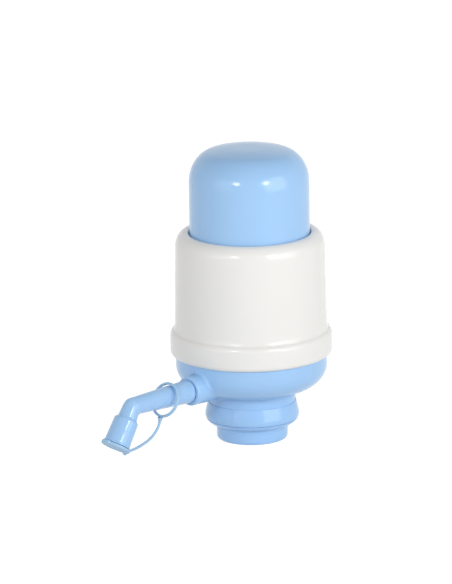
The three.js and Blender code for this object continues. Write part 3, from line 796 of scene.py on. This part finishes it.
# Lid with its plug and finger tab, made with the nozzle's rim at z = 0
lid = {
    "radius": 9.0, "foot": 0.3, "thick": 1.9, "dish": (2.2, 2.6), "dishDepth": 0.35,
    "plugTop": 5.9, "plugEnd": 5.6, "plugDepth": 4.6, "plugWall": 1.2, "plugFloor": 0.2,
    "tabWidth": 6, "tabStart": 4, "tabReach": 1.2, "tabThick": 2.0, "tabCorner": 1.1, "tabEdge": 0.5,
}


def makeLidDisc(size):
    foot, top, radius = size["foot"], size["foot"] + size["thick"], size["radius"]
    plugFoot, plugFloor = foot - size["plugDepth"], foot + size["plugFloor"]
    dishEdge, dishWall = size["dish"]
    return lathe(
        [(0, plugFloor), (size["plugTop"] - size["plugWall"], plugFloor, rounds["slight"])]
        + [(size["plugEnd"] - size["plugWall"], plugFoot, rounds["slight"])]
        + [(size["plugEnd"], plugFoot, rounds["easy"]), (size["plugTop"], foot, rounds["slight"])]
        + [(radius, foot, rounds["full"]), (radius, top, rounds["full"])]
        + [(radius - dishEdge, top, rounds["soft"])]
        + [(radius - dishWall, top - size["dishDepth"], rounds["slight"]), (0, top - size["dishDepth"])],
        sides=96,
        closed=False,
    )


def edgeRise(edge):
    return abs(edge.verts[0].co.z - edge.verts[1].co.z)


def makeLidTab(size):
    length = size["radius"] + size["tabReach"] - size["tabStart"]
    middle = size["tabStart"] + length / 2
    place = Matrix.Translation((0, middle, size["foot"] + size["thick"] / 2))
    tab = block(size["tabWidth"], length, size["tabThick"], place)
    outer = [edge for edge in tab.edges if all(vert.co.y > middle for vert in edge.verts)]
    bevelled(tab, [edge for edge in outer if edgeRise(edge) > mergeDistance], size["tabCorner"], segments=6)
    level = [edge for edge in tab.edges if edgeRise(edge) < mergeDistance]
    bevelled(tab, level, size["tabEdge"], segments=3)
    return tab


lidMesh = moved(merged(makeLidDisc(lid), makeLidTab(lid)), toSpout @ toTip @ along(spoutEnd))
finishPiece("spoutLid", lidMesh, "lid", "soft_plastic", ["spout_lid"])

# Loop round the spout
loop = {"inner": 9.3, "thick": 1.4, "width": 2, "outerRound": 0.8, "station": 72.0, "tilt": 24, "drop": 1.4}


def makeLoop(size):
    half, inner, outer = size["width"] / 2, size["inner"], size["inner"] + size["thick"]
    ring = lathe(
        [(inner, -half, rounds["easy"]), (outer, -half, size["outerRound"])]
        + [(outer, half, size["outerRound"]), (inner, half, rounds["easy"])],
        96,
    )
    place = Matrix.Translation((0, -size["drop"], size["station"]))
    return moved(ring, toSpout @ place @ turned(-size["tilt"], "X"))


finishPiece("retainingLoop", makeLoop(loop), "loop", "soft_plastic", ["retaining_loop"])

# Strap from the loop's foot to the lid's edge, in two halves that meet in the middle
strap = {
    "radius": 0.8, "sides": 12, "steps": 48, "flare": 0.9, "flareSteps": 6,
    "drop": 12, "lean": 1.2, "run": 13, "lidInset": 0.4, "lidTop": 2.7,
}


def strapPath(size):
    tilt, bend = math.radians(loop["tilt"]), math.radians(spout["bend"])
    foot = loop["inner"] + loop["thick"]
    start = Vector((
        0,
        -(loop["station"] + foot * math.sin(tilt)),
        boss["height"] - loop["drop"] - foot * math.cos(tilt),
    ))
    edge, level = lid["radius"] - size["lidInset"], spoutEnd + size["lidTop"] - size["radius"]
    end = Vector((
        0,
        -(spout["elbow"] + level * math.cos(bend) - edge * math.sin(bend)),
        boss["height"] - level * math.sin(bend) - edge * math.cos(bend),
    ))
    leaving, arriving = Vector((0, -size["lean"], -size["drop"])), Vector((0, size["run"], 0))
    controls = [start, start + leaving, end + arriving, end]
    points = []
    for step in range(size["steps"] + 1):
        t = step / size["steps"]
        weights = ((1 - t) ** 3, 3 * t * (1 - t) ** 2, 3 * t * t * (1 - t), t ** 3)
        points.append(sum((weight * control for weight, control in zip(weights, controls)), Vector()))
    return points


def addStrap(size):
    points = strapPath(size)
    across = [Vector((1, 0, 0))] * len(points)
    last = len(points) - 1
    flares = [max(0, 1 - min(step, last - step) / size["flareSteps"]) for step in range(last + 1)]
    radii = [size["radius"] + size["flare"] * flare * flare for flare in flares]
    middle = len(points) // 2
    halves = (
        ("lidStrapUpper", slice(0, middle + 1), ("loop", "spout")),
        ("lidStrapLower", slice(middle, None), ("spout", "lid")),
    )
    for name, share, bodies in halves:
        mesh = sweep(points[share], across[share], radii[share], size["sides"])
        half = finishPiece(name, mesh, None, "soft_plastic", ["lid_strap"])
        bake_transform(half)


addStrap(strap)

# Rings in the spout's grooves
seal = {"ring": 5.76, "wire": 0.54, "sides": 18}
for number, station in enumerate(spout["grooves"], 1):
    sides = seal["sides"]
    circle = arc(seal["ring"], station, seal["wire"], seal["wire"], 0, 360 - 360 / sides, sides - 1)
    ringMesh = moved(lathe(circle, 96), toSpout)
    node = f"spout_seal_{number}"
    finishPiece(pieceName(node), ringMesh, "spout", "seal_rubber", [node])
print("spout pieces made")


# Flat gaskets: inner and outer radius, foot and top
gaskets = {
    "bottle_gasket": ((15.8, 18.95, 8.7, 10.2), "adapter"),
    "adapter_seal": ((22.01, 25.81, 14.0, 15.2), "adapter"),
    "neck_gasket": ((16.0, 23.8, 28.4, 29.9), "base"),
    "base_gasket": ((42.43, 44.93, 58.6, 59.8), "base"),
}
for node, (values, body) in gaskets.items():
    finishPiece(pieceName(node), flatRing(*values), body, "seal_rubber", [node])

# Floor of the pump chamber, its valve and the ring that clamps the bellows
plate = {
    "radius": 44.93, "foot": 60.1, "top": 62.3, "rimRound": 0.3,
    "recess": (28.6, 12), "recessDepth": 0.4, "recessRound": 0.2,
    "stemHole": 1.9, "vents": 4, "vent": 1.5, "ventRing": 5.31,
    "screws": 3, "screwHole": 1.5, "screwRing": 36.2, "screwTurn": 0, "drill": (50, 70),
    "bossRadius": 3, "bossFoot": 54.1, "bossSink": 0.2, "bossFlare": (0.6, 0.8), "holeFoot": 59.0,
}


def makeDrilledDisc(size):
    # a disc with a ring-shaped recess in its top and holes for the valve's stem, the air and the screws
    radius, foot, top, depth = size["radius"], size["foot"], size["top"], size["recessDepth"]
    outer, inner = size["recess"]
    rim, slope = size["rimRound"], size["recessRound"]
    disc = lathe(
        [(0, foot), (radius, foot, rim), (radius, top, rim), (outer + depth, top, slope)]
        + [(outer, top - depth, slope), (inner, top - depth, slope), (inner - depth, top, slope), (0, top)],
        closed=False,
    )
    low, high = size["drill"]
    return carved(
        disc,
        *drills(size["stemHole"], low, high, around(1, 0)),
        *drills(size["vent"], low, high, around(size["vents"], size["ventRing"])),
        *drills(size["screwHole"], low, high, around(size["screws"], size["screwRing"], size["screwTurn"])),
    )


def makeValvePlate(size):
    hole, radius, top = size["screwHole"], size["bossRadius"], size["foot"] + size["bossSink"]
    flareWidth, flareDepth = size["bossFlare"]
    outline = [
        (hole, size["holeFoot"]),
        (hole, top),
        (radius + flareWidth, top),
        (radius, size["foot"] - flareDepth, rounds["easy"]),
        (radius, size["bossFoot"], rounds["soft"]),
        (0, size["bossFoot"]),
        (0, size["holeFoot"]),
    ]
    places = around(size["screws"], size["screwRing"])
    bosses = [moved(lathe(outline, 40, closed=False), place) for place in places]
    return merged(makeDrilledDisc(size), *bosses)


# Umbrella valve: how far each point of the flap lies under the seat, and the bulb above
umbrella = {
    "stem": 1.6, "flap": 9.03, "flapRound": 0.25, "middleDrop": 1.5, "rimDrop": 0.9, "rimTopDrop": 0.3,
    "cup": 7.4, "cupDrop": 0.45, "neckDrop": 0.5, "bulb": 2.5, "bulbGap": 0.3, "bulbHeight": 1.8,
}


def makeUmbrella(size, seat, thickness):
    stem, flap, middle = size["stem"], size["flap"], seat - size["middleDrop"]
    bulbFoot = seat + thickness + size["bulbGap"]
    bulbTop = bulbFoot + size["bulbHeight"]
    return lathe(
        [(0, middle), (stem, middle, rounds["full"]), (flap, seat - size["rimDrop"], size["flapRound"])]
        + [(flap, seat - size["rimTopDrop"], rounds["crisp"])]
        + [(size["cup"], seat - size["cupDrop"], rounds["soft"])]
        + [(stem, seat - size["neckDrop"], rounds["slight"]), (stem, bulbFoot, rounds["crisp"])]
        + [(size["bulb"], bulbFoot, rounds["slight"]), (stem, bulbTop, rounds["soft"]), (0, bulbTop)],
        64,
        closed=False,
    )


# Screw: the head's underside at z = 0, the shank below with its thread
panScrew = {
    "headRadius": 2.8, "headHeight": 1.9, "headSink": 0.1, "slot": (3, 0.62, 2.2),
    "shank": 1.2, "shankTop": 0.3, "shankFoot": -0.4, "length": 7.6, "point": (0.9, 0.2), "pointRise": 0.4,
    "threadTop": -0.5, "turns": 7, "pitch": 0.9, "core": 0.95, "flat": 0.1,
    "coreRound": 0.05, "crestRound": 0.04,
}


def makeScrewHead(size):
    radius, height = size["headRadius"], size["headHeight"]
    head = lathe(
        [(0, -size["headSink"]), (radius, 0, rounds["crisp"])]
        + arc(0, 0, radius, height, 12, 84, 8)
        + [(0, height)],
        48,
        closed=False,
    )
    for turn in (0, 90):
        head = carved(head, block(*size["slot"], turned(turn, "Z") @ along(height)))
    return head


def makeScrew(size):
    shank, core, length = size["shank"], size["core"], size["length"]
    pitch, flat = size["pitch"], size["flat"]
    outline = [(0, size["shankTop"]), (shank, size["shankTop"]), (shank, size["shankFoot"])]
    for turn in range(size["turns"]):
        low = size["threadTop"] - pitch * turn
        outline += [(core, low - flat, size["coreRound"]), (shank, low - pitch / 2, size["crestRound"])]
        outline += [(core, low - pitch + flat, size["coreRound"])]
    wide, narrow = size["point"]
    outline += [(wide, -length + size["pointRise"]), (narrow, -length), (0, -length)]
    return merged(makeScrewHead(size), lathe(outline[::-1], 32, closed=False))


screwMesh = makeScrew(panScrew)


def addScrews(kind, body, height, places):
    for number, place in enumerate(places, 1):
        screw = moved(screwMesh.copy(), along(height) @ place)
        node = f"{kind}_{number}"
        finishPiece(pieceName(node), screw, body, "screw_steel", [node])


finishPiece("valvePlate", makeValvePlate(plate), "base", "inner_plastic", ["valve_plate"])
plateThick = plate["top"] - plate["foot"]
outletMesh = makeUmbrella(umbrella, plate["foot"], plateThick)
finishPiece("outletValve", outletMesh, "base", "seal_rubber", ["outlet_valve"])

clamp = {"inner": 29.5, "outer": 39.4, "foot": 64.4, "top": 66.6, "drill": (60, 70)}
screwGap = 0.3
clampPlaces = around(plate["screws"], plate["screwRing"])
clampRing = flatRing(clamp["inner"], clamp["outer"], clamp["foot"], clamp["top"], rounds["soft"])
clampMesh = carved(clampRing, *drills(plate["screwHole"], *clamp["drill"], clampPlaces))
finishPiece("bellowsClamp", clampMesh, "base", "inner_plastic", ["bellows_clamp"])
addScrews("clamp_screw", "base", clamp["top"] + screwGap, clampPlaces)
print("chamber floor made")

# Bellows head under the dome's crown, with the inlet valve and three screws from below
head = {
    "radius": 31, "foot": 156.26, "top": 158.76, "rimRound": 0.4,
    "recess": (25.4, 21), "recessDepth": 0.6, "recessRound": 0.3,
    "stemHole": 1.9, "vents": 4, "vent": 1.5, "ventRing": 5.31,
    "screws": 3, "screwHole": 1.5, "screwRing": 14.985, "screwTurn": 90, "drill": (150, 165),
}
finishPiece("bellowsHead", makeDrilledDisc(head), "press", "inner_plastic", ["bellows_head"])
inletMesh = makeUmbrella(umbrella, head["foot"], head["top"] - head["foot"])
finishPiece("inletValve", inletMesh, "press", "seal_rubber", ["inlet_valve"])
headPlaces = around(head["screws"], head["screwRing"], head["screwTurn"])
upturned = turned(180, "X")
addScrews("head_screw", "press", head["foot"] - screwGap, [place @ upturned for place in headPlaces])
screwMesh.free()
print("bellows head made")

# Bellows: the flange stays with the floor, the bead goes with the head and the folds stand between
bellows = {
    "foot": 62.6, "flangeTop": 64.1, "flange": 34, "wall": 1.2,
    "root": 26.4, "rootRound": 0.9, "crest": 31.5, "crestRound": 1.1, "folds": 8, "overlap": 0.1,
    "bead": 32.4, "beadFoot": 154.76, "beadTop": 159.96, "beadHook": 2.6, "beadWall": 1.1,
    "beadFloor": 1.2, "hookThick": 0.9,
}


def makeFolds(size):
    low, high = size["flangeTop"] - size["overlap"], size["beadFoot"] + size["overlap"]
    height = (high - low) / size["folds"]
    outside = [(size["root"], low)]
    for fold in range(size["folds"]):
        if fold:
            outside.append((size["root"], low + height * fold, size["rootRound"]))
        outside.append((size["crest"], low + height * (fold + 0.5), size["crestRound"]))
    outside.append((size["root"], high))
    inside = [(radius - size["wall"], *rest) for radius, *rest in outside]
    return lathe(outside + inside[::-1], 112)


def makeBead(size):
    inner, outer, low, top = size["root"] - size["wall"], size["bead"], size["beadFoot"], size["beadTop"]
    hook, side = outer - size["beadHook"], outer - size["beadWall"]
    floorTop, hookFoot = low + size["beadFloor"], top - size["hookThick"]
    return lathe(
        [(inner, low, rounds["slight"]), (outer, low, rounds["full"]), (outer, top, rounds["full"])]
        + [(hook, top, rounds["slight"]), (hook, hookFoot, rounds["crisp"]), (side, hookFoot)]
        + [(side, floorTop), (inner, floorTop, rounds["slight"])],
    )


def closeUp(piece):
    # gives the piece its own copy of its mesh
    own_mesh(piece)


flangeInner = bellows["root"] - bellows["wall"]
flangeRing = flatRing(flangeInner, bellows["flange"], bellows["foot"], bellows["flangeTop"], rounds["soft"])
finishPiece("bellowsFoot", flangeRing, "base", "bellows_rubber", ["bellows"])
finishPiece("bellowsBead", makeBead(bellows), "press", "bellows_rubber", ["bellows"])
foldMesh = makeFolds(bellows)
folds = finishPiece("bellowsFolds", foldMesh, "base", "bellows_rubber", ["bellows"], smoothAngle=60)
closeUp(folds)

# Return spring of round wire, with a closed turn at each end
spring = {
    "radius": 20.99, "wire": 0.9, "wireSides": 12, "foot": 62.6, "top": 155.96,
    "turns": 10, "steps": 40, "endPitch": 1.9,
}


def springPath(size):
    turns, endPitch = size["turns"], size["endPitch"]
    low, high = size["foot"] + size["wire"], size["top"] - size["wire"]
    pitch = (high - low - 2 * endPitch) / (turns - 2)
    points, across = [], []
    for step in range(turns * size["steps"] + 1):
        turn = step / size["steps"]
        endTurns = min(turn, 1) + max(0, turn - turns + 1)
        openTurns = max(0, min(turn, turns - 1) - 1)
        side = Vector((math.cos(turn * math.tau), math.sin(turn * math.tau), 0))
        points.append(side * size["radius"] + Vector((0, 0, low + endTurns * endPitch + openTurns * pitch)))
        across.append(side)
    return points, across


springPoints, springSides = springPath(spring)
springMesh = sweep(springPoints, springSides, [spring["wire"]] * len(springPoints), spring["wireSides"])
coil = finishPiece("returnSpring", springMesh, "base", "spring_steel", ["return_spring"])
closeUp(coil)
print("bellows and spring made")


# Floor: matte white paper, which glows evenly where it is seen so that only faint shadows show
floor = {"size": 14000, "color": (236, 236, 236), "seenColor": (140, 140, 140), "glow": 0.89}


def addFloor(size):
    mesh = bmesh.new()
    bmesh.ops.create_grid(mesh, x_segments=1, y_segments=1, size=size["size"] * mm / 2)
    data = bpy.data.meshes.new("floor")
    mesh.to_mesh(data)
    mesh.free()
    plane = bpy.data.objects.new("floor", data)
    scene.collection.objects.link(plane)
    material = bpy.data.materials.new("floorPaper")
    material.use_nodes = True
    tree = material.node_tree
    shader = tree.nodes["Principled BSDF"]
    shader.inputs["Base Color"].default_value = linear(*size["color"])
    shader.inputs["Roughness"].default_value = 1
    shader.inputs["Specular IOR Level"].default_value = 0
    faint = addNode(tree, "ShaderNodeBsdfDiffuse", {"Color": linear(*size["seenColor"])})
    glow = addNode(tree, "ShaderNodeEmission", {"Color": (1, 1, 1, 1), "Strength": size["glow"]})
    lit = addNode(tree, "ShaderNodeAddShader", {0: faint.outputs[0], 1: glow.outputs[0]})
    mix = addNode(tree, "ShaderNodeMixShader", {0: raySeen(tree), 1: shader.outputs[0], 2: lit.outputs[0]})
    tree.links.new(mix.outputs[0], tree.nodes["Material Output"].inputs["Surface"])
    data.materials.append(material)


# Lamps stand round the camera: azimuth from the camera's own, elevation, distance, size, power
lamps = {
    "keyLeft": (-25, 21, 1300, (230, 170), 2.3),
    "keyRight": (33, 21, 1300, (230, 170), 2.3),
    "wallRight": (52, 10, 1500, (1200, 1200), 9.6),
    "wallLeft": (-50, 6, 1500, (900, 1200), 3.0),
    "back": (176, 22, 1500, (1300, 1200), 3.5),
}
lampTarget = (0, 0, 100)
unmirrored = ("back",)


def addLamp(name, azimuth, elevation, distance, size, power):
    light = bpy.data.lights.new(name, "AREA")
    light.shape = "RECTANGLE"
    light.size, light.size_y = size[0] * mm, size[1] * mm
    light.energy = power
    lamp = bpy.data.objects.new(name, light)
    scene.collection.objects.link(lamp)
    lamp.visible_glossy = name not in unmirrored
    away = direction(cameraView["azimuth"] + azimuth, elevation)
    lamp.location = (Vector(lampTarget) + away * distance) * mm
    lamp.rotation_euler = away.to_track_quat("Z", "Y").to_euler()


# World: brightness at the horizon and overhead, for the light that it gives and for what is seen of it
worldLight = {"given": (0.57, 0.36), "seen": (0.95, 0.5), "fade": (0.35, 0.7)}


def addWorld(level):
    world = bpy.data.worlds.new("studio")
    scene.world = world
    world.use_nodes = True
    tree = world.node_tree
    place = addNode(tree, "ShaderNodeTexCoord")
    height = addNode(tree, "ShaderNodeSeparateXYZ", {0: place.outputs["Generated"]}).outputs["Z"]
    given, seen = (
        addNode(tree, "ShaderNodeBackground", {
            "Color": (1, 1, 1, 1),
            "Strength": mapped(tree, height, level["fade"], level[share]),
        }).outputs[0]
        for share in ("given", "seen")
    )
    mix = addNode(tree, "ShaderNodeMixShader", {0: raySeen(tree), 1: given, 2: seen})
    tree.links.new(mix.outputs[0], tree.nodes["World Output"].inputs["Surface"])


addFloor(floor)
for name, values in lamps.items():
    addLamp(name, *values)
addWorld(worldLight)
print("stage set")

nodes = [part["node"] for part in frame["record"]["subparts"]]
print("CAD nodes still shown:", [node for node in nodes if not frame["nodes"][node].hide_render])
